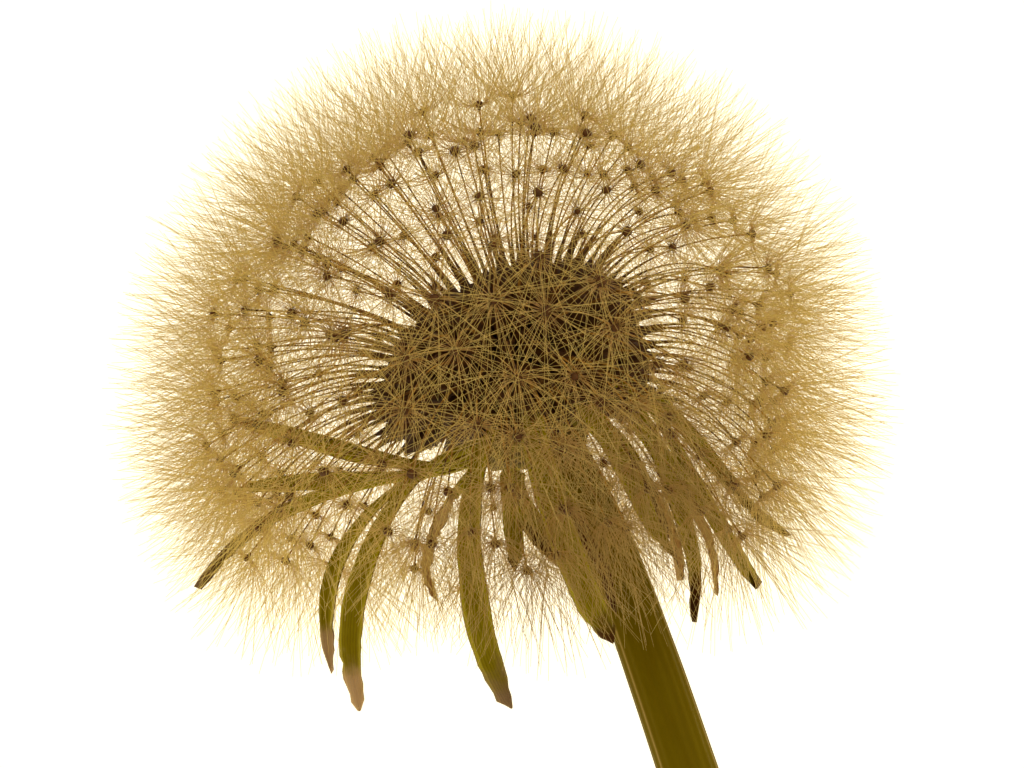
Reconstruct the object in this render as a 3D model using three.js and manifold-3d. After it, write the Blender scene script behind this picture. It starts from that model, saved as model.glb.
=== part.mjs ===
// A dandelion seed head on its cut stem, lying on a flat surface. Millimetres, +Z up.
// The stem runs along X, with its cut end at -X, and the globe of seeds rests on its own bristles.
// The head has a frame of its own, as it grew: Z along the head's axis, -Y to the side that lies uppermost.
import * as THREE from "three";
import { mergeVertices } from "three/addons/utils/BufferGeometryUtils.js";
import Module from "manifold-3d";

const wasm = await Module();
wasm.setup();

const degrees = THREE.MathUtils.degToRad;

// Where the receptacle's middle is, and how the head leans on the surface
const HEAD_AT = [39.7, -0.9, 21.6];
const HEAD_YAW = degrees(13.5); // from +X towards +Y
const HEAD_PITCH = degrees(14); // the head's axis rises by this, and the stem falls by it

// Globe of seeds
const GLOBE_CENTRE = new THREE.Vector3(-1.3, 0, -1.5); // in the head's frame: the globe hangs to one side
const HUB_RADIUS = 17.6; // where each beak ends and its bristles begin
const HUB_SWAY = 1.1; // between the nearest and the furthest
const SEED_COUNT = 196; // on the whole spiral, before the limits below
const SEED_SPREAD = degrees(134); // the seeds stand from the apex down to this angle
const SEED_LIMIT = degrees(119); // the lowest seeds, on average
const SEED_LIMIT_SWAY = degrees(8); // they reach lower on the +X side of the head
const SEED_SWAY = degrees(5); // from an even spacing
const ROOT_SHARE = 0.9; // a seed's root stands at this share of its hub's angle
const RAYS = 6; // a multiple of the three sides of a beak
const RAY_LENGTH = 5.7;
const RAY_ANGLES = [degrees(26), degrees(66), degrees(46)]; // from the beak's line
const RAY_SWAY = degrees(8.2);
const HUB_DEPTH = 0.8;
const HUB_TOP = 0.35;
const VALLEY_RADIUS = 0.3; // the rim between two bristles
const VALLEY_RISE = 0.1;
const SEED_SIDES = 3;
const SHORTEST_EDGE = 0.02; // shorter ones, left where seeds cross, are closed up

// The globe rests on the bristle tips nearest to these three places, and the others are bent clear
const REST_SPOTS = [[36, -8], [36, 7], [44.5, -0.6]];
const REST_GAP = 0.3;

// Seed body: radii of its three-sided section, and heights above the dome that it stands on
const ROOT_SUNK = 0.7;
const ACHENE_LENGTH = 3.6;
const BELLY_HEIGHT = 2.5;
const ROOT_RADIUS = 0.24;
const BELLY_RADIUS = 0.52;
const NECK_RADIUS = 0.18;
const BEAK_RADIUS = 0.13;
const BEAK_RISE = 4; // the beak leaves its achene straight for about this far

// Receptacle, and the layer of packed achene feet that covers its low dome
const FEET_DOME = { across: 5.2, up: 2.4, down: 6.5 };
const FEET_HOLLOW = { across: 4.2, up: 1.4, down: 5.5 };
const RECEPTACLE_DOME = { across: 3.9, up: 1.1, down: 5.2 };
const FEET_FLOOR = -2.8;
const CLEARANCE = 0.3;
const RIM_RADIUS = 4.6;
const RIM_HEIGHT = -3.7;
const RIM_INSIDE = 4.3; // where the rim turns in under the feet
const RECEPTACLE_FOOT = -6.5;
const FOOT_FLARE = [[1.65, RECEPTACLE_FOOT], [2.1, -6], [3, -5.3], [4.2, -4.8], [RIM_RADIUS, RIM_HEIGHT]];
const DOME_SIDES = 14;
const DOME_STEPS = 4;

// Stem: a hollow tube
const STEM_RADIUS = 1.6;
const STEM_GROWTH = 0.5; // it is this much thicker at the cut end
const STEM_GROWTH_LENGTH = 25;
const STEM_END_RADIUS = STEM_RADIUS + STEM_GROWTH;
const STEM_WALL = 0.55;
const STEM_BEND = 6; // the bend below the head fades over this length
const STEM_SWAY = degrees(-4);
const STEM_FLARE = 25; // the stem levels out over this length
const STEM_LYING = 10; // and lies flat for the rest
const STEM_SIDES = 12;
const STEM_STEPS = 26;
const STEM_FINE_STEPS = 12; // within each step, where the course is summed up

// Bracts: root azimuth in degrees (0 is +X, 90 is +Y), how far the blade sets out level from its root,
// the point that it bends towards, its tip, and its greatest width
const BRACT_THICKNESS = 0.6;
const INNER_BRACTS = [
  { root: 346, out: 2.2, via: [5.6, -1.4, -13], tip: [6.6, 0.2, -19.2], width: 1.8 },
  { root: 8, out: 3.4, via: [8.6, 2.2, -11], tip: [10.1, 3.1, -17.3], width: 1.6 },
  { root: 30, out: 3.2, via: [7.6, 5.4, -11.5], tip: [6.5, 6.2, -17.7], width: 1.6 },
  { root: 53, out: 3.4, via: [6.8, 9.6, -9], tip: [6, 10, -15.4], width: 1.8 },
  { root: 76, out: 3.6, via: [2.2, 11.4, -8], tip: [1.4, 10.6, -14], width: 1.9 },
  { root: 99, out: 3.4, via: [-2.8, 11.8, -8.2], tip: [-3.7, 9.4, -9.6], width: 1.8 },
  { root: 122, out: 3.4, via: [-8.6, 10.8, -4.6], tip: [-9.8, 9.7, -9], width: 1.3 },
  { root: 142, out: 3.6, via: [-9.4, 8, 2], tip: [-14.3, 10, 7.2], width: 1.9 },
  { root: 160, out: 4, via: [-10.6, 5, 0], tip: [-17, 7.4, 3], width: 1.8 },
  { root: 177, out: 5, via: [-16, 2.4, 2], tip: [-23, 4.7, -2], width: 1.6 },
  { root: 194, out: 6, via: [-17.6, -1, -3.6], tip: [-18.6, 1.6, -10.8], width: 1.7 },
  { root: 211, out: 6, via: [-16.4, -6.4, -5], tip: [-19.6, -1.6, -14.2], width: 1.9 },
  { root: 231, out: 3.6, via: [-11.8, -9, -9.6], tip: [-11.4, -1.9, -18.4], width: 2 },
  { root: 254, out: 3, via: [-5.4, -10, -11.4], tip: [-4.2, -2.6, -18], width: 2.3 },
  { root: 281, out: 2.4, via: [1.4, -8, -11], tip: [1.2, -3.6, -15.6], width: 1.8 },
  { root: 315, out: 2, via: [4.8, -5, -12.4], tip: [2.4, -0.4, -19.4], width: 1.7 },
];
const OUTER_BRACTS = [
  { root: 15, out: 1, via: [4.6, 1.6, -10.4], tip: [3.4, 1.4, -14.2], width: 1.5 },
  { root: 75, out: 1, via: [1.4, 4.4, -9.6], tip: [0.6, 3.6, -12.6], width: 1.4 },
  { root: 130, out: 1, via: [-2.9, 3.6, -9.2], tip: [-2.4, 2.9, -12], width: 1.5 },
  { root: 185, out: 1, via: [-4.6, 0.2, -9.6], tip: [-3.4, -0.4, -13], width: 1.4 },
  { root: 243, out: 1, via: [-2.6, -4.2, -11], tip: [-1.8, -1.9, -16.6], width: 1.5 },
  { root: 305, out: 1, via: [2.8, -4, -10], tip: [1.8, -2.9, -14], width: 1.7 },
];
const INNER_SEAT = { radius: RIM_RADIUS, height: RIM_HEIGHT - 0.15, steps: 10, rise: 0.6 };
const OUTER_SEAT = { radius: 3.1, height: -5.8, steps: 6, rise: 0 };
const BRACT_ROOT_WIDTH = 1.1;
const BRACT_TIP_WIDTH = 0.5;
const BRACT_ARCH = 0.25; // how far the middle of the blade stands above its edges
const BRACT_ELBOW_ROOM = 1.45; // seeds whose beaks would pass nearer to a bract's midline have fallen

function direction(polar, azimuth) {
  const r = Math.sin(polar);
  return new THREE.Vector3(r * Math.cos(azimuth), r * Math.sin(azimuth), Math.cos(polar));
}

// A repeatable draw from -0.5 to 0.5 for item i, with one row of draws for each k
function jitter(i, k) {
  const t = Math.sin(i * 12.9898 + k * 78.233) * 43758.5453;
  return t - Math.floor(t) - 0.5;
}

// A direction square to a given one
function across(line) {
  const help = Math.abs(line.z) < 0.9 ? new THREE.Vector3(0, 0, 1) : new THREE.Vector3(1, 0, 0);
  return new THREE.Vector3().crossVectors(help, line).normalize();
}

function geometryOf(points, triangles) {
  const geometry = new THREE.BufferGeometry().setFromPoints(points);
  geometry.setIndex(triangles);
  return geometry;
}

// Triangles between two rings of n points that start at indices a and b
function band(a, b, n) {
  const triangles = [];
  for (let k = 0; k < n; k++) {
    const next = (k + 1) % n;
    triangles.push(a + k, a + next, b + next, a + k, b + next, b + k);
  }
  return triangles;
}

// A solid through rings of points, each turning left as seen from the last ring, with flat ends
function loft(rings) {
  const n = rings[0].length;
  const points = rings.flat();
  const last = points.length - n;
  const triangles = [];
  rings.slice(1).forEach((_, k) => triangles.push(...band(k * n, (k + 1) * n, n)));
  for (let k = 1; k < n - 1; k++) {
    triangles.push(0, k + 1, k, last, last + k, last + k + 1);
  }
  return geometryOf(points, triangles);
}

function solidOf(geometry) {
  const bare = geometry.clone();
  bare.deleteAttribute("normal");
  bare.deleteAttribute("uv");
  const merged = mergeVertices(bare, 1e-3);
  const mesh = new wasm.Mesh({
    numProp: 3,
    vertProperties: new Float32Array(merged.attributes.position.array),
    triVerts: new Uint32Array(merged.index.array),
  });
  return new wasm.Manifold(mesh);
}

function geometryOfSolid(solid) {
  const mesh = solid.getMesh();
  const geometry = new THREE.BufferGeometry();
  geometry.setAttribute("position", new THREE.BufferAttribute(new Float32Array(mesh.vertProperties), 3));
  geometry.setIndex(new THREE.BufferAttribute(new Uint32Array(mesh.triVerts), 1));
  return geometry;
}

function addedTogether(solids) {
  let row = solids;
  while (row.length > 1) {
    const next = [];
    for (let k = 0; k < row.length; k += 2) {
      next.push(k + 1 < row.length ? row[k].add(row[k + 1]) : row[k]);
    }
    row = next;
  }
  return row[0];
}

function material(colour, roughness) {
  return new THREE.MeshStandardMaterial({ color: colour, roughness, metalness: 0 });
}

function piece(name, geometry, itsMaterial) {
  const mesh = new THREE.Mesh(geometry, itsMaterial);
  mesh.name = name;
  return mesh;
}

// Head: a group laid down as the plant lies, which the seeds and bracts stand in
function headGroup() {
  const axis = new THREE.Vector3(Math.cos(HEAD_YAW), Math.sin(HEAD_YAW), Math.tan(HEAD_PITCH));
  axis.normalize();
  const right = new THREE.Vector3().crossVectors(axis, new THREE.Vector3(0, 0, 1)).normalize();
  const away = new THREE.Vector3().crossVectors(axis, right);
  const group = new THREE.Group();
  group.quaternion.setFromRotationMatrix(new THREE.Matrix4().makeBasis(right, away, axis));
  group.position.set(...HEAD_AT);
  group.updateMatrixWorld(true);
  return group;
}

// Receptacle: a foot that flares from the stem to the rim, under a low dome
function domeProfile(dome, floor, steps) {
  const start = Math.asin(floor / dome.down);
  return Array.from({ length: steps + 1 }, (_, k) => {
    const angle = start + ((Math.PI / 2 - start) * k) / steps;
    const height = angle < 0 ? dome.down : dome.up;
    return new THREE.Vector2(dome.across * Math.cos(angle), height * Math.sin(angle));
  });
}

function receptacleGeometry() {
  const shelf = FEET_FLOOR - CLEARANCE;
  const foot = [[0, RECEPTACLE_FOOT], ...FOOT_FLARE, [RIM_INSIDE, shelf]];
  const dome = domeProfile(RECEPTACLE_DOME, shelf, DOME_STEPS);
  dome.at(-1).x = 0;
  const profile = [...foot.map(([r, z]) => new THREE.Vector2(r, z)), ...dome];
  return new THREE.LatheGeometry(profile, DOME_SIDES).rotateX(Math.PI / 2);
}

// Feet: the layer of packed achene feet, a thick cap over the receptacle's dome
function feetGeometry() {
  const outside = domeProfile(FEET_DOME, FEET_FLOOR, DOME_STEPS);
  const inside = domeProfile(FEET_HOLLOW, FEET_FLOOR, DOME_STEPS).reverse();
  outside.at(-1).x = 0;
  inside[0].x = 0;
  const profile = [...inside, ...outside];
  return new THREE.LatheGeometry(profile, DOME_SIDES).rotateX(Math.PI / 2);
}

// Bract midline: out from the rim, over, and on to its tip
function bractLine(bract, seat) {
  const out = direction(Math.PI / 2, degrees(bract.root));
  const start = out.clone().multiplyScalar(seat.radius + CLEARANCE);
  start.z = seat.height;
  const over = start.clone().addScaledVector(out, bract.out);
  over.z += seat.rise;
  return new THREE.CubicBezierCurve3(
    start,
    over,
    new THREE.Vector3(...bract.via),
    new THREE.Vector3(...bract.tip),
  );
}

function bractWidth(share, bract) {
  const widen = Math.min(1, 0.25 + share / 0.3);
  const narrow = Math.max(0, (share - 0.45) / 0.55);
  const full = THREE.MathUtils.lerp(BRACT_ROOT_WIDTH, bract.width, THREE.MathUtils.smoothstep(widen, 0, 1));
  return full + (BRACT_TIP_WIDTH - full) * narrow ** 1.6;
}

// Bract blade: an arched strip, thickened and widened by extra on every side
function bractGeometry(bract, seat, extra = 0) {
  const line = bractLine(bract, seat);
  const azimuth = degrees(bract.root);
  const sideways = new THREE.Vector3(-Math.sin(azimuth), Math.cos(azimuth), 0);
  const half = BRACT_THICKNESS / 2 + extra;
  const rings = [];
  for (let k = 0; k <= seat.steps; k++) {
    const share = k / seat.steps;
    const at = line.getPoint(share);
    const ahead = line.getTangent(share);
    if (k === 0) at.addScaledVector(ahead, -extra);
    if (k === seat.steps) at.addScaledVector(ahead, extra);
    const side = sideways.clone().addScaledVector(ahead, -sideways.dot(ahead)).normalize();
    const up = new THREE.Vector3().crossVectors(ahead, side);
    const edge = bractWidth(share, bract) / 2 + extra;
    const section = [
      [0, BRACT_ARCH - half],
      [edge, -half],
      [edge, half],
      [0, BRACT_ARCH + half],
      [-edge, half],
      [-edge, -half],
    ];
    rings.push(section.map(([s, u]) => at.clone().addScaledVector(side, s).addScaledVector(up, u)));
  }
  return loft(rings);
}

// Seeds: where each one stands, by equal areas round a spiral
function seedPlan() {
  const turn = Math.PI * (3 - Math.sqrt(5));
  const plan = [];
  for (let i = 0; i < SEED_COUNT; i++) {
    const share = (i + 0.5) / SEED_COUNT;
    const polar = Math.acos(1 - (1 - Math.cos(SEED_SPREAD)) * share) + SEED_SWAY * jitter(i, 1);
    const azimuth = i * turn + (SEED_SWAY * jitter(i, 2)) / Math.max(0.2, Math.sin(polar));
    if (polar > SEED_LIMIT + SEED_LIMIT_SWAY * Math.cos(azimuth)) continue;
    plan.push(seedLine(i, Math.abs(polar), azimuth));
  }
  return plan;
}

// One seed's points: root, belly and neck of the achene, then the beak's bend and its end. The achene
// leans half way from the dome's normal to the line from the dome's middle to its hub.
function seedLine(i, polar, azimuth) {
  const around = direction(Math.PI / 2, azimuth);
  const angle = polar * ROOT_SHARE;
  const height = angle > Math.PI / 2 ? FEET_DOME.down : FEET_DOME.up;
  const foot = around.clone().multiplyScalar(FEET_DOME.across * Math.sin(angle));
  foot.z = height * Math.cos(angle);
  const normal = around.clone().multiplyScalar(Math.sin(angle) / FEET_DOME.across);
  normal.z = Math.cos(angle) / height;
  const hub = GLOBE_CENTRE.clone();
  hub.addScaledVector(direction(polar, azimuth), HUB_RADIUS + HUB_SWAY * jitter(i, 3));
  const stand = normal.normalize().add(hub.clone().normalize()).normalize();
  const above = (distance) => foot.clone().addScaledVector(stand, distance);
  return {
    index: i,
    root: above(-ROOT_SUNK),
    belly: above(BELLY_HEIGHT),
    neck: above(ACHENE_LENGTH),
    bend: above(ACHENE_LENGTH + BEAK_RISE),
    hub,
    stand,
  };
}

// A ring's point at an angle from side towards other, this far from its centre
function ringPoint(centre, [side, other], angle, radius) {
  const point = centre.clone().addScaledVector(side, radius * Math.cos(angle));
  return point.addScaledVector(other, radius * Math.sin(angle));
}

// Two directions square to a seed at a place where it runs ahead, turned alike all along it
function seedFrame(seed, ahead) {
  const turned = across(seed.stand).applyAxisAngle(seed.stand, 2 * Math.PI * jitter(seed.index, 4));
  const side = turned.addScaledVector(ahead, -turned.dot(ahead)).normalize();
  return [side, new THREE.Vector3().crossVectors(ahead, side)];
}

// The beak's line where it ends, and the frame there
function seedTop(seed) {
  const line = seed.hub.clone().sub(seed.bend).normalize();
  return { line, frame: seedFrame(seed, line) };
}

// Where point k of the rim round the hub stands: even ones are valleys, odd ones bristles
function rimAngle(k) {
  return ((k - RAYS / SEED_SIDES) * Math.PI) / RAYS;
}

// Tip of one bristle, before the surface bends it
function bristleTip(seed, ray) {
  const { line, frame } = seedTop(seed);
  const lean = RAY_ANGLES[ray % RAY_ANGLES.length] + RAY_SWAY * jitter(seed.index, 5 + ray);
  const tip = ringPoint(seed.hub, frame, rimAngle(2 * ray + 1), RAY_LENGTH * Math.sin(lean));
  return tip.addScaledVector(line, RAY_LENGTH * Math.cos(lean));
}

// Bristles of one seed: rays from the hub's rim, each bent up where it would pass through the surface
function bristleRing(seed, head, resting) {
  const { line, frame } = seedTop(seed);
  const points = [];
  for (let k = 0; k < 2 * RAYS; k++) {
    if (k % 2 === 0) {
      const valley = ringPoint(seed.hub, frame, rimAngle(k), VALLEY_RADIUS);
      points.push(valley.addScaledVector(line, VALLEY_RISE));
      continue;
    }
    const ray = (k - 1) / 2;
    const tip = head.localToWorld(bristleTip(seed, ray));
    const rests = resting.some((one) => one.index === seed.index && one.ray === ray);
    tip.z = Math.max(rests ? 0 : REST_GAP, tip.z);
    points.push(head.worldToLocal(tip));
  }
  return points;
}

// The three bristles that the globe rests on
function restingBristles(seeds, head) {
  const low = [];
  for (const seed of seeds) {
    for (let ray = 0; ray < RAYS; ray++) {
      const tip = head.localToWorld(bristleTip(seed, ray));
      if (tip.z < 0) low.push({ index: seed.index, ray, x: tip.x, y: tip.y });
    }
  }
  return REST_SPOTS.map(([x, y]) => {
    const away = (one) => Math.hypot(one.x - x, one.y - y);
    return low.reduce((best, one) => (away(one) < away(best) ? one : best));
  });
}

// Seed: an achene and a beak with three sides, then a fan out to the bristles and a low peak over them
function seedGeometry(seed, head, resting) {
  const { line } = seedTop(seed);
  const throat = seed.hub.clone().addScaledVector(line, -HUB_DEPTH);
  const stations = [
    [seed.root, seed.stand, ROOT_RADIUS],
    [seed.belly, seed.stand, BELLY_RADIUS],
    [seed.neck, seed.stand, NECK_RADIUS],
    [throat, line, BEAK_RADIUS],
  ];
  const points = stations.flatMap(([centre, ahead, radius]) =>
    [0, 1, 2].map((k) => ringPoint(centre, seedFrame(seed, ahead), (2 * Math.PI * k) / SEED_SIDES, radius)),
  );
  const triangles = [0, 2, 1];
  for (let k = 0; k < stations.length - 1; k++) {
    triangles.push(...band(SEED_SIDES * k, SEED_SIDES * (k + 1), SEED_SIDES));
  }
  const mouth = SEED_SIDES * (stations.length - 1);
  const rim = points.length;
  points.push(...bristleRing(seed, head, resting));
  const peak = points.length;
  points.push(seed.hub.clone().addScaledVector(line, HUB_TOP));
  const share = (2 * RAYS) / SEED_SIDES; // edges of the rim that each point of the mouth reaches
  for (let k = 0; k < 2 * RAYS; k++) {
    const here = rim + k;
    const next = rim + ((k + 1) % (2 * RAYS));
    triangles.push(mouth + Math.floor(k / share), next, here, peak, here, next);
  }
  for (let k = 0; k < SEED_SIDES; k++) {
    const next = (k + 1) % SEED_SIDES;
    triangles.push(mouth + k, mouth + next, rim + next * share);
  }
  return geometryOf(points, triangles);
}

// Stem: where its middle runs, from the receptacle's foot to the cut end
function stemCourse(head) {
  const foot = head.localToWorld(new THREE.Vector3(0, 0, RECEPTACLE_FOOT - CLEARANCE));
  const endRadius = STEM_END_RADIUS * Math.cos(Math.PI / STEM_SIDES);
  const flareDrop = (STEM_FLARE * (1 - Math.cos(HEAD_PITCH))) / HEAD_PITCH;
  const straight = (foot.z - endRadius - flareDrop) / Math.sin(HEAD_PITCH);
  const length = straight + STEM_FLARE + STEM_LYING;
  const dropAt = (s) => {
    const t = THREE.MathUtils.clamp(s - straight, 0, STEM_FLARE);
    const left = HEAD_PITCH * (1 - t / STEM_FLARE);
    const flare = (STEM_FLARE / HEAD_PITCH) * (Math.cos(left) - Math.cos(HEAD_PITCH));
    return Math.min(s, straight) * Math.sin(HEAD_PITCH) + flare;
  };
  const points = [foot.clone()];
  const fine = STEM_FINE_STEPS;
  const step = length / (STEM_STEPS * fine);
  const at = foot.clone();
  for (let k = 0; k < STEM_STEPS * fine; k++) {
    const s = (k + 0.5) * step;
    const yaw = HEAD_YAW * Math.exp(-s / STEM_BEND) + STEM_SWAY * (s / length) ** 2;
    const level = Math.sqrt(1 - ((dropAt(s + step / 2) - dropAt(s - step / 2)) / step) ** 2);
    at.x -= step * level * Math.cos(yaw);
    at.y -= step * level * Math.sin(yaw);
    at.z = foot.z - dropAt((k + 1) * step);
    if ((k + 1) % fine === 0) points.push(at.clone());
  }
  return { points, length };
}

function stemRadius(s) {
  return STEM_RADIUS + STEM_GROWTH * (1 - Math.exp(-s / STEM_GROWTH_LENGTH));
}

// Stem tube: its outside from the head to the cut end, then back along its inside
function stemGeometry(head) {
  const { points, length } = stemCourse(head);
  const start = new THREE.Vector3(0, 0, -1).transformDirection(head.matrixWorld);
  const ring = (k, inset) => {
    const before = points[Math.max(0, k - 1)];
    const after = points[Math.min(STEM_STEPS, k + 1)];
    const ahead = k === 0 ? start.clone() : after.clone().sub(before).normalize();
    if (k >= STEM_STEPS - 1) ahead.setZ(0).normalize();
    const side = new THREE.Vector3().crossVectors(new THREE.Vector3(0, 0, 1), ahead).normalize();
    const up = new THREE.Vector3().crossVectors(ahead, side);
    const outer = k >= STEM_STEPS - 2 ? STEM_END_RADIUS : stemRadius((k * length) / STEM_STEPS);
    const radius = outer - inset;
    return Array.from({ length: STEM_SIDES }, (_, j) => {
      const a = (2 * Math.PI * (j + 0.5)) / STEM_SIDES;
      const point = points[k].clone().addScaledVector(side, radius * Math.sin(a));
      return point.addScaledVector(up, -radius * Math.cos(a));
    });
  };
  const rings = [];
  for (let k = 0; k <= STEM_STEPS; k++) rings.push(ring(k, 0));
  for (let k = STEM_STEPS; k >= 0; k--) rings.push(ring(k, STEM_WALL));
  const triangles = [];
  for (let k = 0; k < rings.length; k++) {
    const next = (k + 1) % rings.length;
    triangles.push(...band(k * STEM_SIDES, next * STEM_SIDES, STEM_SIDES));
  }
  return geometryOf(rings.flat(), triangles);
}

// Faces outwards whichever way its rings ran
function outwards(geometry) {
  if (solidOf(geometry).volume() > 0) return geometry;
  const index = geometry.index.array;
  for (let k = 0; k < index.length; k += 3) [index[k + 1], index[k + 2]] = [index[k + 2], index[k + 1]];
  return geometry;
}

// Seed head: every seed joined to the layer of feet, and cut back where a bract lies against it
function seedHeadGeometry(head, bracts) {
  const samples = bracts.flatMap(({ bract, seat }) => bractLine(bract, seat).getPoints(14));
  const nearBract = (seed) => {
    const beak = new THREE.QuadraticBezierCurve3(seed.neck, seed.bend, seed.hub);
    return beak.getPoints(8).some((p) => samples.some((q) => p.distanceTo(q) < BRACT_ELBOW_ROOM));
  };
  const seeds = seedPlan().filter((seed) => !nearBract(seed));
  const resting = restingBristles(seeds, head);
  const solids = seeds.map((seed) => solidOf(outwards(seedGeometry(seed, head, resting))));
  const whole = addedTogether([solidOf(outwards(feetGeometry())), ...solids]);
  const margins = bracts.map(({ bract, seat }) => solidOf(outwards(bractGeometry(bract, seat, CLEARANCE))));
  const cut = whole.subtract(addedTogether(margins));
  const bodies = cut.decompose().sort((a, b) => b.volume() - a.volume());
  return geometryOfSolid(bodies[0].asOriginal().simplify(SHORTEST_EDGE));
}

const GREEN = material(0x6d7426, 0.6);
const BRACT_GREEN = material(0x7a7a2c, 0.65);
const DRY_BROWN = material(0x5c5230, 0.7);
const STEM_GREEN = material(0x6b6a1c, 0.45);
const SEED_CREAM = material(0xc3ad7c, 0.8);

const head = headGroup();
const bracts = [
  ...INNER_BRACTS.map((bract) => ({ bract, seat: INNER_SEAT, kind: "inner" })),
  ...OUTER_BRACTS.map((bract) => ({ bract, seat: OUTER_SEAT, kind: "outer" })),
];

head.add(piece("receptacle", outwards(receptacleGeometry()), GREEN));
head.add(piece("seed_head", seedHeadGeometry(head, bracts), SEED_CREAM));
const counts = { inner: 0, outer: 0 };
for (const { bract, seat, kind } of bracts) {
  counts[kind] += 1;
  const name = `${kind}_bract_${String(counts[kind]).padStart(2, "0")}`;
  head.add(piece(name, outwards(bractGeometry(bract, seat)), kind === "inner" ? BRACT_GREEN : DRY_BROWN));
}

const plant = new THREE.Group();
plant.add(head);
plant.add(piece("stem", outwards(stemGeometry(head)), STEM_GREEN));
export default plant;
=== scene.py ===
# A dandelion seed head on its cut stem, lying on a glowing table, as surfaces worked out with numpy.
# The model that is loaded first gives each piece its place. Metres, +Z up.
from collections import namedtuple

import bpy
import numpy as np
from mathutils import Matrix


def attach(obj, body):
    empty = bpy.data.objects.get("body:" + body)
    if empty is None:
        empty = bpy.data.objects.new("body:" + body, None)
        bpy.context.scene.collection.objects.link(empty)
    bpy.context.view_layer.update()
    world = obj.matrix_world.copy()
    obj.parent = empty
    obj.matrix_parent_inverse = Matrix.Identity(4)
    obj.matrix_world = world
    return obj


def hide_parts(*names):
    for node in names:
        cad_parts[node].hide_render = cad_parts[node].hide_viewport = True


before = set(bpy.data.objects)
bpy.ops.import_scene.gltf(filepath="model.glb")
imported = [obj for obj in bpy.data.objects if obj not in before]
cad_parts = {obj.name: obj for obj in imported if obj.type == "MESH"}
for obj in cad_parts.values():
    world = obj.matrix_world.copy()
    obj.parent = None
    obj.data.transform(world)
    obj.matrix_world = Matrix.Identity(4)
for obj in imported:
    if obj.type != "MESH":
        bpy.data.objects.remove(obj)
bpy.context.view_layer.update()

bl_info = {
    "name": "Dandelion Seed Head",
    "version": (1, 0, 0),
    "blender": (4, 5, 0),
    "location": "View3D > Sidebar > Dandelion",
    "description": "Builds a ripe dandelion head with its bristles, seeds, bracts and hollow stem",
    "category": "Add Mesh",
}

MM = 0.001
UP = np.array([0.0, 0.0, 1.0])

# Where the receptacle's middle is, and how the head leans
HEAD_AT = np.array([39.7, -0.9, 21.6]) * MM
HEAD_YAW = np.radians(13.5)
HEAD_PITCH = np.radians(14)

# Globe of seeds, drawn as the solid parts draw it. Angles from the apex are polar, those round the head azimuths,
# and a nearness is the cosine of how far round from a side something is.
GLOBE_CENTRE = np.array([-1.3, 0, -1.5]) * MM
HUB_RADIUS = 17.5 * MM
HUB_SWAY = 2.8 * MM  # between the nearest and the furthest
SEED_COUNT = 300  # on the whole spiral: the solid parts carry fewer, each in its true size
SEED_SPREAD = np.radians(134)
SPIRAL_REACH = 1.1  # how far past that spread the spiral runs
SEED_LIMIT = np.radians(117)  # where the lowest seeds stand, on average
SEED_LIMIT_SWAY = np.radians(16)  # and how much lower they reach on the +X side
SEED_SWAY = np.radians(5)
ROOT_SHARE = 0.9  # a seed's root stands at this share of its hub's angle
GOLDEN_TURN = np.pi * (3 - np.sqrt(5))

# Three sides where the lowest rows differ, each with the nearness and the polar angle where that starts and is full
HANGING_AZIMUTH = np.radians(-70)  # these are half closed, and hang further down
HANGING_NEARNESS = (0.1, 0.8)
HANGING_ROWS = np.radians(24)
CLOSED_POLAR = np.radians((108, 124))
PAINTED_SHADE_AZIMUTH = np.radians(-100)  # these are painted darker, as shade, where they hang over the stem
PAINTED_SHADE_NEARNESS = (0.5, 0.92)
PAINTED_SHADE_POLAR = np.radians((104, 122))
SHORT_AZIMUTH = np.radians(140)  # these have short, flat bristles
SHORT_NEARNESS = (-0.1, 0.6)
SHORT_POLAR = np.radians((92, 108))

# Where seeds stand up to twice as close: on which side and how near to it, between which polar angles, and which
# share of the places between the seeds is filled
CloserRows = namedtuple("CloserRows", "azimuth nearness start end share")
CLOSER_ROWS = (
    CloserRows(np.radians(-100), 0.83, np.radians(108), np.pi, 1.0),
    CloserRows(np.radians(180), 0.58, np.radians(8), np.radians(82), 0.42),
    CloserRows(np.radians(30), 0.55, np.radians(94), np.radians(122), 0.7),
)

# Seed body, by height above the dome that it stands on
ACHENE_LENGTH = 3.6 * MM
BEAK_RISE = 4 * MM

# Receptacle and the layer of packed achene feet over its dome
FEET_DOME = {"across": 5.2 * MM, "up": 2.4 * MM, "down": 6.5 * MM}
FEET_HOLLOW = {"across": 4.2 * MM, "up": 1.4 * MM, "down": 5.5 * MM}
RECEPTACLE_DOME = {"across": 3.9 * MM, "up": 1.1 * MM, "down": 5.2 * MM}
FEET_FLOOR = -2.8 * MM
CLEARANCE = 0.3 * MM
RIM_RADIUS = 4.6 * MM
RIM_HEIGHT = -3.7 * MM
RECEPTACLE_FOOT = -6.5 * MM
FOOT_FLARE = np.array([[1.65, -6.5], [2.1, -6], [3, -5.3], [4.2, -4.8], [4.6, -3.7]]) * MM
FOOT_SPACING = np.array([0.21, 0.21, 0.24]) * MM  # the pits between packed feet come at this pace
FOOT_PITS = 0.14 * MM
GROOVES = 16
GROOVES_FROM = (-6.4 * MM, -5.4 * MM)  # the heights where they start and are full
CAP_RADIUS = 0.02 * MM  # a surface of rings ends in one this small

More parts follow.
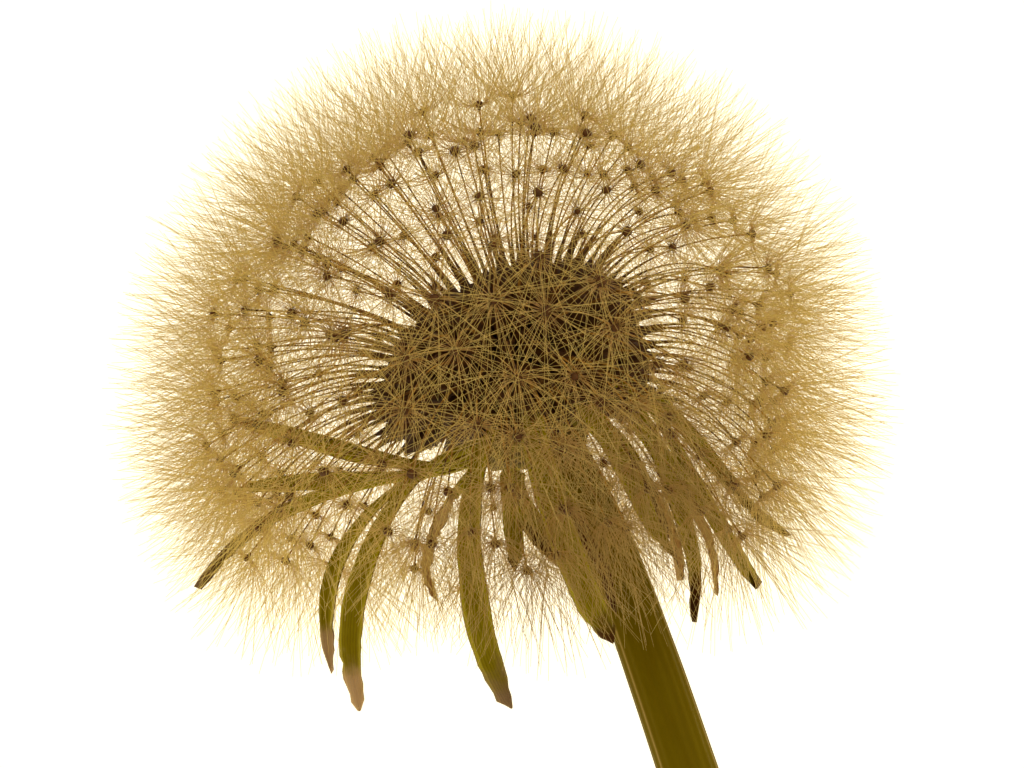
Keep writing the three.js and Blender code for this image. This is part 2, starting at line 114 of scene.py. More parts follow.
# Stem
STEM_RADIUS = 1.6 * MM
STEM_GROWTH = 0.5 * MM
STEM_GROWTH_LENGTH = 25 * MM
STEM_BEND = 6 * MM
STEM_SWAY = np.radians(-4)
STEM_FLARE = 25 * MM
STEM_LYING = 10 * MM
STEM_FACETS = 12
STEM_ROUND = np.cos(np.pi / STEM_FACETS)  # the round tube fits inside the solid's facets
STEM_RIBS = 18
STEM_SWELL = 0.02 * MM  # how much its girth wanders, over the length below
STEM_SWELL_LENGTH = 30 * MM
STEM_OVERLAP = 0.35 * MM  # how far it runs up towards the receptacle
STEM_PAINTED_LIGHT_AT = 0.89  # how far out to each side of the middle a painted line of light runs along it, for the light through the thin wall at the stem's sides
STEM_PAINTED_LIGHT_WIDTH = 0.03
STEM_PAINTED_LIGHT_SHARE = 0.75  # how far towards its own colour of painted light
BORE_RIDGES = 7
BORE_RIDGE = 0.03 * MM
CUT_SWAY = 0.12 * MM  # how uneven the cut is

BLADE_SHARE = 0.76  # the solids' blades are a little wider than the drawn ones

# A bract: the azimuth of its root, how far it sets out level, the point it bends towards, its tip, its width,
# where along it the green turns dry, how far its tip hooks aside, how far it turns about its own line in
# degrees, how pale its dry part is, and how much of the solid's width its end fills
Bract = namedtuple("Bract", "root level elbow tip width dry hook twist pale end", defaults=(BLADE_SHARE,))
INNER_BRACTS = [
    Bract(346, 2.2, (5.6, -1.4, -13), (6.6, 0.2, -19.2), 1.8, 0.93, 0.5, -40, 0),
    Bract(8, 3.4, (8.6, 2.2, -11), (10.1, 3.1, -17.3), 1.6, 0.72, -1.1, -40, 0, 0.7),
    Bract(30, 3.2, (7.6, 5.4, -11.5), (6.5, 6.2, -17.7), 1.6, 0.7, 0.9, -60, 1, 0.5),
    Bract(53, 3.4, (6.8, 9.6, -9), (6, 10, -15.4), 1.8, 0.7, 0.7, -60, 1, 0.5),
    Bract(76, 3.6, (2.2, 11.4, -8), (1.4, 10.6, -14), 1.9, 0.92, 0.4, 0, 0),
    Bract(99, 3.4, (-2.8, 11.8, -8.2), (-3.7, 9.4, -9.6), 1.8, 0.9, 0.3, 10, 0),
    Bract(122, 3.4, (-8.6, 10.8, -4.6), (-9.8, 9.7, -9), 1.3, 0.35, -0.5, 40, 1),
    Bract(142, 3.6, (-9.4, 8, 2), (-14.3, 10, 7.2), 1.9, 1.1, 0.2, -60, 1),
    Bract(160, 4, (-10.6, 5, 0), (-17, 7.4, 3), 1.8, 1.1, -0.3, 60, 1),
    Bract(177, 5, (-16, 2.4, 2), (-23, 4.7, -2), 1.6, 0.7, 0.6, 45, 0.35, 0.6),
    Bract(194, 6, (-17.6, -1, -3.6), (-18.6, 1.6, -10.8), 1.7, 0.88, -0.4, -50, 0.8),
    Bract(211, 6, (-16.4, -6.4, -5), (-19.6, -1.6, -14.2), 1.9, 0.9, 0.5, -50, 1, 0.96),
    Bract(231, 3.6, (-11.8, -9, -9.6), (-11.4, -1.9, -18.4), 2, 0.93, 0.2, -25, 0.4, 1.1),
    Bract(254, 3, (-5.4, -10, -11.4), (-4.2, -2.6, -18), 2.3, 0.95, 0.2, 0, 0, 1.05),
    Bract(281, 2.4, (1.4, -8, -11), (1.2, -3.6, -15.6), 1.8, 0.9, 0.5, 20, 0),
    Bract(315, 2, (4.8, -5, -12.4), (2.4, -0.4, -19.4), 1.7, 0.9, -1, 40, 0),
]
OUTER_BRACTS = [
    Bract(15, 1, (4.6, 1.6, -10.4), (3.4, 1.4, -14.2), 1.5, 0.6, 0.5, -30, 0),
    Bract(75, 1, (1.4, 4.4, -9.6), (0.6, 3.6, -12.6), 1.4, 0.7, 0.3, 0, 0),
    Bract(130, 1, (-2.9, 3.6, -9.2), (-2.4, 2.9, -12), 1.5, 0.7, -0.3, 30, 0),
    Bract(185, 1, (-4.6, 0.2, -9.6), (-3.4, -0.4, -13), 1.4, 0.6, 0.4, -40, 0),
    Bract(243, 1, (-2.6, -4.2, -11), (-1.8, -1.9, -16.6), 1.5, 0.6, -0.6, -12, 0),
    Bract(305, 1, (2.8, -4, -10), (1.8, -2.9, -14), 1.7, 0.6, 0.4, 30, 0),
]
INNER_SEAT = {"radius": RIM_RADIUS, "height": RIM_HEIGHT - 0.15 * MM, "rise": 0.6 * MM}
OUTER_SEAT = {"radius": 3.1 * MM, "height": -5.8 * MM, "rise": 0.0}
BRACT_ROWS = (("inner", INNER_BRACTS, INNER_SEAT), ("outer", OUTER_BRACTS, OUTER_SEAT))
BRACT_ROOT_WIDTH = 1.1 * MM
BRACT_NARROWING = 0.45
BRACT_ARCH = 0.25 * MM
BRACT_THINNING = 0.45  # how much thinner its dry part is, as a share
BRACT_ELBOW_ROOM = 0.45 * MM  # beaks pass no nearer to a bract's middle line
MIDRIB = 0.5  # how much thicker the blade is along its middle, as a share
MIDRIB_WIDTH = 0.16  # as a share of the half width
HOOK_REACH = 1.6 * MM  # how far aside a hook of 1 carries the tip
EDGE_WANDER = 0.07  # how unevenly the green edges run, as a share of the half width
CRINKLE = 0.12 * MM  # how far the dry edges curl
TIP_FROM = (0.88, 0.97)  # where the tip begins, on a narrow and on a broad end
TIP_CLOSING = (0.98, 0.9)  # how far each closes
VEIN_PACE = 26.0  # the veins' wave across the blade, in radians from its middle to its edge

# Along a blade, or out from its middle for the margins, where each of these starts and is full
HOOK_ALONG = (0.75, 1.05)
TWIST_ALONG = (0.2, 0.85)
END_ALONG = (0.55, 0.9)
ROLL_ALONG = (0.35, 1.0)
DRYING = (-0.1, 0.08)  # counted from where its green turns dry
PALE_MARGIN = (0.62, 0.84)
DARK_MARGIN = (0.91, 0.985)

# Camera: how far it tilts from straight down, which azimuth is the picture's up, and its distance
CAMERA_TILT = np.radians(28)
CAMERA_TURN = np.radians(-18)
CAMERA_AWAY = 237 * MM
CAMERA_RIGHT_SHIFT = 0.494 * MM
CAMERA_UP_SHIFT = 0.989 * MM
CAMERA_LENS = 135
CAMERA_SENSOR = 36
CAMERA_NEAREST = 0.01

# Stage
FLOOR_HALF = 1.5
TABLE_GLOW = 1.55
SKY_GLOW = 0.46
SKY_COLOUR = (1.0, 0.89, 0.82, 1)
LAMP_AT = (0.1, -0.25, 0.55)
LAMP_LEAN = np.radians(24)
LAMP_SIZE = 0.5
LAMP_POWER = 1.0
LAMP_COLOUR = (1.0, 0.9, 0.8)


def from_screen(red, green, blue):
    """A colour as a picture stores it, 0 to 255, as the linear colour that a shader takes."""
    value = np.array([red, green, blue]) / 255
    linear = np.where(value > 0.04045, ((value + 0.055) / 1.055) ** 2.4, value / 12.92)
    return tuple(float(part) for part in linear)


def length_value(name, description, default):
    return bpy.props.FloatProperty(
        name=name,
        description=description,
        default=default,
        min=0.0,
        precision=5,
        subtype="DISTANCE",
        unit="LENGTH",
    )


def angle_value(name, description, degrees):
    return bpy.props.FloatProperty(
        name=name,
        description=description,
        default=np.radians(degrees),
        subtype="ANGLE",
        unit="ROTATION",
    )


def count_value(name, description, default):
    return bpy.props.IntProperty(name=name, description=description, default=default, min=3)


def colour_value(name, description, *screen):
    return bpy.props.FloatVectorProperty(
        name=name,
        description=description,
        default=from_screen(*screen),
        min=0.0,
        max=1.0,
        size=3,
        subtype="COLOR",
    )


class DandelionSeeds(bpy.types.PropertyGroup):
    """Sizes of the seeds and their bristles"""

    bristles: count_value("Bristles", "Bristles on each seed", 54)
    bristle_length: length_value("Bristle length", "From the hub to the tip", 7 * MM)
    bristle_root: length_value("Bristle root", "Radius where it leaves the hub", 0.019 * MM)
    bristle_end: length_value("Bristle end", "Radius over most of its length", 0.0135 * MM)
    inner_start: angle_value("Inner start", "From the beak's line, at the hub, the inmost bristles", 96)
    outer_start: angle_value("Outer start", "From the beak's line, at the hub, the outermost bristles", 106)
    inner_lean: angle_value("Inner lean", "From the beak's line, at the tip, the inmost bristles", 8)
    outer_lean: angle_value("Outer lean", "From the beak's line, at the tip, the outermost bristles", 74)
    hub_radius: length_value("Hub radius", "Of the knob that carries the bristles", 0.27 * MM)
    beak_neck: length_value("Beak neck", "Radius where the beak leaves the achene", 0.12 * MM)
    beak_radius: length_value("Beak radius", "At the middle of its length", 0.05 * MM)
    achene_radius: length_value("Achene radius", "At its widest", 0.52 * MM)
    achene_tooth: length_value("Achene tooth", "How far its teeth stand out", 0.15 * MM)
    spare_achenes: count_value("Spare achenes", "Seeds whose beaks have broken off", 190)


class DandelionGreens(bpy.types.PropertyGroup):
    """Sizes of the bracts, the receptacle and the stem"""

    blade: length_value("Blade", "Thickness of a bract", 0.34 * MM)
    margin_roll: length_value("Margin roll", "How far a bract's edges roll in near its tip", 0.35 * MM)
    tatter: bpy.props.FloatProperty(
        name="Tatter", description="How ragged the dry tips are", default=0.5, min=0.0, max=1.0
    )
    flute: length_value("Flute", "Depth of the grooves round the receptacle", 0.1 * MM)
    wall: length_value("Wall", "Thickness of the hollow stem's wall", 0.55 * MM)
    rib: length_value("Rib", "Height of the stem's fine ribs", 0.025 * MM)


class DandelionColours(bpy.types.PropertyGroup):
    """Colours of the plant and the table"""

    bristle: colour_value("Bristle", "The silky bristles", 252, 236, 158)
    bristle_foot: colour_value("Bristle foot", "The bristles close to the hub", 234, 206, 142)
    # Painted shade: the lowest bristles over the stem are darkened towards this colour
    bristle_painted_shade: colour_value("Bristle, matted", "The lowest bristles, over the stem", 184, 150, 80)
    beak: colour_value("Beak", "The thin stalks below the bristles", 206, 158, 56)
    hub: colour_value("Hub", "The knobs that carry the bristles", 88, 54, 14)
    achene: colour_value("Achene", "The ribbed seeds", 108, 68, 14)
    # Painted shade: this dark brown fills the achenes' grooves, the pits between their feet and the receptacle's
    # grooves; it is also the stem's dark marks and random dark patches on the achenes
    achene_dark: colour_value("Achene, dark", "The grooves between ribs", 66, 38, 5)
    leaf: colour_value("Leaf green", "The living part of a bract", 138, 122, 4)
    leaf_light: colour_value("Leaf, light", "Where light comes through a bract", 198, 184, 44)
    leaf_vein: colour_value("Leaf vein", "The lines along a bract", 96, 80, 0)
    leaf_dry: colour_value("Leaf, dry", "The withered part of a dark bract", 88, 52, 14)
    leaf_papery: colour_value("Leaf, papery", "The withered part of a pale bract", 218, 186, 132)
    receptacle: colour_value("Receptacle", "The swollen head of the stem", 96, 72, 10)
    stem: colour_value("Stem", "The stem's skin", 126, 106, 0)
    # Painted light: the pale lines along the stem's sides, for the light that comes through its thin wall there
    stem_painted_light: colour_value("Stem, light", "The fine lines along the stem", 196, 164, 84)
    table: colour_value("Table", "The glowing table", 255, 243, 211)


# Shared arithmetic


def jitter(i, k):
    """A repeatable draw from -0.5 to 0.5: the fraction of sin(12.9898 i + 78.233 k) * 43758.5453, less a half."""
    t = np.sin(np.asarray(i) * 12.9898 + np.asarray(k) * 78.233) * 43758.5453
    return t - np.floor(t) - 0.5


def mix(a, b, share):
    return a + (b - a) * share


def smooth(low, high, x):
    """0 below low, 1 above high, and 3t^2 - 2t^3 between them."""
    t = np.clip((np.asarray(x, float) - low) / (high - low), 0, 1)
    return t * t * (3 - 2 * t)


def unit(v):
    return v / np.linalg.norm(v, axis=-1, keepdims=True)


def dot(a, b):
    return np.sum(a * b, axis=-1, keepdims=True)


def direction(polar, azimuth):
    """The unit vector at an angle from Z and an azimuth from X."""
    polar, azimuth = np.broadcast_arrays(polar, azimuth)
    ring = np.sin(polar)
    return np.stack([ring * np.cos(azimuth), ring * np.sin(azimuth), np.cos(polar)], axis=-1)


def square_to(line):
    """A unit vector square to each given one: its cross product with Z, or with X near the Z axis."""
    helper = np.where(np.abs(line[..., 2:3]) < 0.9, UP, np.array([1.0, 0.0, 0.0]))
    return unit(np.cross(helper, line))


def turned_round(v, axis, angle):
    """v turned about a unit axis that it is square to."""
    return v * np.cos(angle)[..., None] + np.cross(axis, v) * np.sin(angle)[..., None]


def wander(x, seed, waves=5):
    """A smooth random line between about -1 and 1: a sum of sines, each faster and lower than the last."""
    total = np.zeros_like(np.asarray(x, float))
    for wave in range(waves):
        pace = 1.7**wave * (1 + 0.3 * jitter(seed, 11 + wave))
        total += np.sin(2 * np.pi * (pace * x + jitter(seed, 31 + wave))) / 1.5**wave
    return total / 2


def head_axes():
    """The head's own right, away and axis directions, as rows."""
    axis = unit(np.array([np.cos(HEAD_YAW), np.sin(HEAD_YAW), np.tan(HEAD_PITCH)]))
    right = unit(np.cross(axis, UP))
    return np.stack([right, np.cross(axis, right), axis])


HEAD_AXES = head_axes()


def laid(points):
    """Points of the head's own frame, where the head lies."""
    return points @ HEAD_AXES + HEAD_AT


def lifted(points, softness=0.5 * MM, lowest=0.03 * MM):
    """Points that would pass through the table, bent up: below the softness z becomes a falling exponential."""
    result = points.copy()
    z = points[..., 2]
    bent = lowest + (softness - lowest) * np.exp((z - softness) / (softness - lowest))
    result[..., 2] = np.where(z < softness, bent, z)
    return result


def bezier(points, t):
    """A Bezier curve of any degree at each t: the points are mixed pairwise until one is left."""
    row = [np.asarray(p, float)[..., None, :] for p in points]
    share = np.asarray(t, float)[:, None]
    while len(row) > 1:
        row = [a + (b - a) * share for a, b in zip(row, row[1:])]
    return row[0]


# Meshes


def sheet_faces(rows, columns, first=0, rings=1):
    """Quads between neighbouring rows of points, in blocks of rows, each row closed into a ring."""
    block, row, column = np.meshgrid(np.arange(rings), np.arange(rows - 1), np.arange(columns), indexing="ij")
    here = first + (block * rows + row) * columns
    nearer = here + column
    further = here + (column + 1) % columns
    return np.stack([nearer, further, further + columns, nearer + columns], axis=-1).reshape(-1, 4)


def end_faces(rows, columns, rings=1):
    """The flat faces that close each block of rings at its first and its last ring."""
    starts = np.arange(rings)[:, None] * rows * columns
    order = np.arange(columns)
    return np.concatenate([starts + order[::-1], starts + (rows - 1) * columns + order])


def tubes(centres, radii, turned, sides):
    """Tubes along many lines: round each centre a ring at radius * (cos a * side + sin a * other), where side is
    the turned direction made square to the line and other is square to both."""
    ahead = unit(np.gradient(centres, axis=1))
    side = unit(turned[:, None] - dot(turned[:, None], ahead) * ahead)
    other = np.cross(ahead, side)
    a = 2 * np.pi * np.arange(sides) / sides
    ring = side[:, :, None] * np.cos(a)[:, None] + other[:, :, None] * np.sin(a)[:, None]
    return centres[:, :, None] + radii[..., None, None] * ring


def tube_faces(points):
    """Side and end faces of what tubes() gives."""
    rings, rows, columns = points.shape[:3]
    return [sheet_faces(rows, columns, rings=rings), end_faces(rows, columns, rings)]


def add_piece(name, points, faces, values, material, slot, *replaced):
    """A mesh object from arrays of points and faces, with a value for each point under each given name."""
    mesh = bpy.data.meshes.new(name)
    flat = points.reshape(-1, 3)
    mesh.vertices.add(len(flat))
    mesh.vertices.foreach_set("co", flat.astype(np.float32).ravel())
    corners = np.concatenate([group.ravel() for group in faces])
    counts = np.concatenate([np.full(len(group), group.shape[1]) for group in faces])
    mesh.loops.add(len(corners))
    mesh.loops.foreach_set("vertex_index", corners.astype(np.int32))
    mesh.polygons.add(len(counts))
    mesh.polygons.foreach_set("loop_start", (np.cumsum(counts) - counts).astype(np.int32))
    mesh.polygons.foreach_set("use_smooth", np.ones(len(counts), bool))
    for key, value in values.items():
        attribute = mesh.attributes.new(key, "FLOAT", "POINT")
        spread = np.broadcast_to(value, points.shape[:-1]).astype(np.float32)
        attribute.data.foreach_set("value", spread.ravel())
    mesh.update(calc_edges=True)
    mesh.validate()
    mesh.materials.append(material)
    piece = bpy.data.objects.new(name, mesh)
    bpy.context.scene.collection.objects.link(piece)
    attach(piece, "root")
    if replaced:
        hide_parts(*replaced)


def joined(parts):
    """One piece's points, faces and values from those of several, each with its faces counted from 0."""
    points, faces, values, first = [], [], {}, 0
    for part_points, part_faces, part_values in parts:
        flat = part_points.reshape(-1, 3)
        points.append(flat)
        faces.extend(group + first for group in part_faces)
        for key, value in part_values.items():
            values.setdefault(key, []).append(np.broadcast_to(value, part_points.shape[:-1]).ravel())
        first += len(flat)
    return np.concatenate(points), faces, {key: np.concatenate(rows) for key, rows in values.items()}


# Materials


def new_material(name):
    material = bpy.data.materials.new(name)
    material.use_nodes = True
    material.node_tree.nodes.clear()
    return material, material.node_tree


def add(tree, kind, inputs=None, **settings):
    """A node with its settings, each named input either given a value or joined to a socket."""
    node = tree.nodes.new(kind)
    for key, value in settings.items():
        setattr(node, key, value)
    for key, value in (inputs or {}).items():
        if isinstance(value, bpy.types.NodeSocket):
            tree.links.new(value, node.inputs[key])
        elif np.ndim(value) == 1:
            size = len(node.inputs[key].default_value)
            node.inputs[key].default_value = (*value, 1.0)[:size]
        else:
            node.inputs[key].default_value = value
    return node


def attribute(tree, name):
    return add(tree, "ShaderNodeAttribute", attribute_name=name).outputs["Fac"]


def calculated(tree, operation, *values):
    return add(tree, "ShaderNodeMath", dict(enumerate(values)), operation=operation).outputs[0]


def blended(tree, share, first, second):
    """Colour first where share is 0, second where it is 1."""
    node = add(tree, "ShaderNodeMix", data_type="RGBA")
    for socket, value in ((node.inputs[0], share), (node.inputs[6], first), (node.inputs[7], second)):
        if isinstance(value, bpy.types.NodeSocket):
            tree.links.new(value, socket)
        else:
            socket.default_value = value if np.ndim(value) == 0 else (*value, 1.0)
    return node.outputs[2]


def ranged(tree, value, low, high, to_low=0.0, to_high=1.0):
    """The value carried smoothly from the range low to high onto another range, and held at its ends."""
    node = add(
        tree,
        "ShaderNodeMapRange",
        {"Value": value, "From Min": low, "From Max": high, "To Min": to_low, "To Max": to_high},
        interpolation_type="SMOOTHSTEP",
    )
    return node.outputs["Result"]


def noise(tree, scale, detail=3.0, stretch=(1, 1, 1)):
    """Noise over the piece's own coordinates, drawn out along an axis where stretch is below 1."""
    place = add(tree, "ShaderNodeTexCoord").outputs["Object"]
    mapped = add(tree, "ShaderNodeMapping", {"Vector": place, "Scale": stretch}).outputs["Vector"]
    return add(tree, "ShaderNodeTexNoise", {"Vector": mapped, "Scale": scale, "Detail": detail}).outputs["Fac"]


def bump(tree, height, distance, strength):
    inputs = {"Height": height, "Distance": distance, "Strength": strength}
    return add(tree, "ShaderNodeBump", inputs).outputs["Normal"]


def finish_material(tree, colour, through, share, roughness, normal=None, specular=0.4):
    """Joins a matt or waxy skin and the light that comes through it, by a fixed share."""
    skin = add(tree, "ShaderNodeBsdfPrincipled", {"Base Color": colour, "Roughness": roughness})
    skin.inputs["Specular IOR Level"].default_value = specular
    glow = add(tree, "ShaderNodeBsdfTranslucent", {"Color": through})
    if normal is not None:
        tree.links.new(normal, skin.inputs["Normal"])
    both = add(tree, "ShaderNodeMixShader", {"Fac": share})
    tree.links.new(skin.outputs[0], both.inputs[1])
    tree.links.new(glow.outputs[0], both.inputs[2])
    output = add(tree, "ShaderNodeOutputMaterial")
    tree.links.new(both.outputs[0], output.inputs["Surface"])


def bristle_material(colours):
    material, tree = new_material("silky bristle")
    shade = attribute(tree, "shade")
    along = ranged(tree, attribute(tree, "along"), 0.0, 0.35)
    # The shade value mixes in this darker colour: a little at random on every bristle, and as painted shade on the
    # lowest ones over the stem
    pale = blended(tree, shade, colours.bristle, colours.bristle_painted_shade)
    colour = blended(tree, along, colours.bristle_foot, pale)
    finish_material(tree, colour, colour, share=0.55, roughness=0.45)
    return material


def beak_material(colours):
    material, tree = new_material("dry beak")
    along = ranged(tree, attribute(tree, "along"), 0.0, 0.4)
    colour = blended(tree, along, colours.achene, colours.beak)
    varied = blended(tree, ranged(tree, noise(tree, 900.0), 0.35, 0.7), colour, colours.hub)
    finish_material(tree, varied, varied, share=0.25, roughness=0.5)
    return material


def hub_material(colours):
    material, tree = new_material("brown hub")
    colour = blended(tree, ranged(tree, noise(tree, 2500.0), 0.3, 0.7), colours.hub, colours.achene)
    finish_material(tree, colour, colour, share=0.1, roughness=0.6)
    return material


def achene_material(colours):
    material, tree = new_material("ribbed achene")
    # Painted shade: darker in the grooves between the ribs and in the pits between the feet, lighter on ribs and
    # teeth
    ridge = attribute(tree, "ridge")
    colour = blended(tree, ridge, colours.achene_dark, colours.achene)
    fine = noise(tree, 2600.0, 4.0)
    varied = blended(tree, ranged(tree, fine, 0.35, 0.75, 0.0, 0.6), colour, colours.achene_dark)
    relief = bump(tree, fine, 0.05 * MM, 0.6)
    finish_material(tree, varied, varied, share=0.08, roughness=0.6, normal=relief)
    return material


def receptacle_material(colours):
    material, tree = new_material("golden olive receptacle")
    streak = noise(tree, 700.0)
    base = blended(tree, ranged(tree, streak, 0.3, 0.7), colours.receptacle, colours.leaf)
    # Painted shade: darker in the grooves up the flare
    groove = ranged(tree, attribute(tree, "groove"), 0.2, 1.0, 0.0, 0.6)
    colour = blended(tree, groove, base, colours.achene_dark)
    relief = bump(tree, streak, 0.1 * MM, 0.4)
    finish_material(tree, colour, colours.leaf, share=0.2, roughness=0.6, normal=relief, specular=0.15)
    return material


def bract_material(colours, name, bract, index):
    """Green that turns dry and ragged from one place along the blade, with veins along it, and with a pale margin
    that ends in a dark line."""
    material, tree = new_material(name)
    along = attribute(tree, "along")
    across = attribute(tree, "across")
    patch = noise(tree, 420.0 + 40 * jitter(index, 91), 4.0)
    uneven = calculated(tree, "ADD", along, ranged(tree, patch, 0.2, 0.8, -0.06, 0.06))
    dry = ranged(tree, uneven, bract.dry - 0.04, bract.dry + 0.06)
    withered = blended(tree, bract.pale, colours.leaf_dry, colours.leaf_papery)
    vein = calculated(tree, "SINE", calculated(tree, "MULTIPLY", across, VEIN_PACE))
    outwards = calculated(tree, "ABSOLUTE", across)
    margin = ranged(tree, outwards, *PALE_MARGIN, 0.0, 0.85)
    outline = ranged(tree, outwards, *DARK_MARGIN, 0.0, 0.8)
    green = blended(tree, ranged(tree, patch, 0.35, 0.8, 0.0, 0.5), colours.leaf, colours.leaf_light)
    striped = blended(tree, ranged(tree, vein, 0.2, 1.0, 0.0, 0.45), green, colours.leaf_vein)
    living = blended(tree, margin, striped, colours.leaf_light)
    colour, glow = (
        blended(tree, outline, blended(tree, dry, fresh, withered), colours.leaf_dry)
        for fresh in (living, colours.leaf_light)
    )
    relief = bump(tree, vein, 0.05 * MM, 0.5)
    finish_material(tree, colour, glow, share=0.35, roughness=0.6, normal=relief, specular=0.03)
    return material


def stem_material(colours):
    material, tree = new_material("waxy olive stem")
    lengthwise = noise(tree, 1500.0, stretch=(0.06, 1, 1))
    marks = noise(tree, 520.0, 2.0, (0.5, 1, 1))
    base = blended(tree, ranged(tree, lengthwise, 0.35, 0.7, 0.0, 0.25), colours.stem, colours.leaf)
    # Painted light: pale lines along both sides of the stem stand for the light that comes through its thin wall
    # there
    with_painted_light = blended(tree, attribute(tree, "stripe"), base, colours.stem_painted_light)
    colour = blended(tree, ranged(tree, marks, 0.74, 0.8, 0.0, 0.6), with_painted_light, colours.achene_dark)
    relief = bump(tree, lengthwise, 0.05 * MM, 0.4)
    finish_material(tree, colour, with_painted_light, share=0.2, roughness=0.5, normal=relief, specular=0.03)
    return material


def table_material(colours):
    material, tree = new_material("glowing table")
    glow = add(tree, "ShaderNodeEmission", {"Color": colours.table, "Strength": TABLE_GLOW})
    output = add(tree, "ShaderNodeOutputMaterial")
    tree.links.new(glow.outputs[0], output.inputs["Surface"])
    return material


# Bracts


def bract_points(bract, seat):
    """The four points of a bract's middle line: from the rim, out level, over, and on to its tip."""
    out = direction(np.pi / 2, np.radians(bract.root))
    start = out * (seat["radius"] + CLEARANCE)
    start[2] = seat["height"]
    over = start + out * bract.level * MM
    over[2] += seat["rise"]
    return start, over, np.array(bract.elbow) * MM, np.array(bract.tip) * MM


def bract_width(share, width):
    """Widens from the root over the first third and narrows to the tip over the second half."""
    widen = smooth(0, 1, np.minimum(1, 0.25 + share / 0.3))
    narrow = np.maximum(0, (share - 0.45) / 0.55)
    full = mix(BRACT_ROOT_WIDTH, width, widen)
    return full * (1 - BRACT_NARROWING * narrow**2)


def bract_blade(bract, seat, greens, index, steps=60, sides=24):
    """A flattened tube along the middle line. Round it, x runs across as cos a and the skin stands off as sin a;
    the blade arches as 1 - x^2, its margins roll in as x^4 near the tip, and each edge wanders, most where it is
    dry. The tip closes as the root of 1 - closing * u^2, where u goes from 0 where it begins to 1 at its end."""
    share = np.linspace(0, 1, steps)
    line = bezier(bract_points(bract, seat), share)
    azimuth = np.radians(bract.root)
    sideways = np.array([-np.sin(azimuth), np.cos(azimuth), 0.0])
    line = line + sideways * (HOOK_REACH * bract.hook * smooth(*HOOK_ALONG, share) ** 2)[:, None]
    ahead = unit(np.gradient(line, axis=0))
    side = unit(sideways - dot(sideways, ahead) * ahead)
    up = np.cross(ahead, side)
    twist = np.radians(bract.twist) * smooth(*TWIST_ALONG, share)[:, None]
    side, up = side * np.cos(twist) + up * np.sin(twist), up * np.cos(twist) - side * np.sin(twist)

    a = 2 * np.pi * np.arange(sides) / sides
    x = np.cos(a)
    dry = smooth(*DRYING, share - bract.dry)
    half = mix(BLADE_SHARE, bract.end, smooth(*END_ALONG, share)) * bract_width(share, bract.width * MM) / 2
    ragged = greens.tatter * dry
    left, right = (
        1 + EDGE_WANDER * wander(share * 2.5, index + slow) - ragged * np.abs(wander(share * 6, index + fast))
        for slow, fast in ((0.3, 0.7), (0.5, 0.9))
    )
    breadth = smooth(BLADE_SHARE, 1, bract.end)
    tip = mix(*TIP_FROM, breadth)
    point = np.sqrt(1 - mix(*TIP_CLOSING, breadth) * np.clip((share - tip) / (1 - tip), 0, 1) ** 2)
    edge = np.where(x[None] < 0, left[:, None], right[:, None])
    reach = (half * point)[:, None] * mix(1, edge, np.abs(x)[None])
    midrib = 1 + MIDRIB * np.exp(-((x / MIDRIB_WIDTH) ** 2))
    skin = greens.blade / 2 * (1 - BRACT_THINNING * dry)[:, None] * (np.sin(a) * midrib)[None]
    arch = BRACT_ARCH * (1 - x**2)[None]
    roll = -greens.margin_roll * smooth(*ROLL_ALONG, share)[:, None] * (x**4)[None]
    crinkle = CRINKLE * dry[:, None] * wander(share * 5, index + 0.2)[:, None] * x[None]
    across = x[None] * reach
    stand = skin + arch + roll + crinkle
    points = line[:, None] + side[:, None] * across[..., None] + up[:, None] * stand[..., None]
    values = {"along": share[:, None], "across": x[None]}
    return lifted(laid(points))[None], values


def build_bracts(greens, colours):
    """Each bract is a piece of its own, in the place of the solid of that name."""
    index = 0
    for kind, bracts, seat in BRACT_ROWS:
        for number, bract in enumerate(bracts, 1):
            index += 1
            name = f"{kind}_bract_{number:02d}"
            points, values = bract_blade(bract, seat, greens, index)
            material = bract_material(colours, f"{kind} bract {number}", bract, index)
            add_piece(f"{name}_blade", points, tube_faces(points), values, material, f"{kind}_bracts", name)


# Seeds


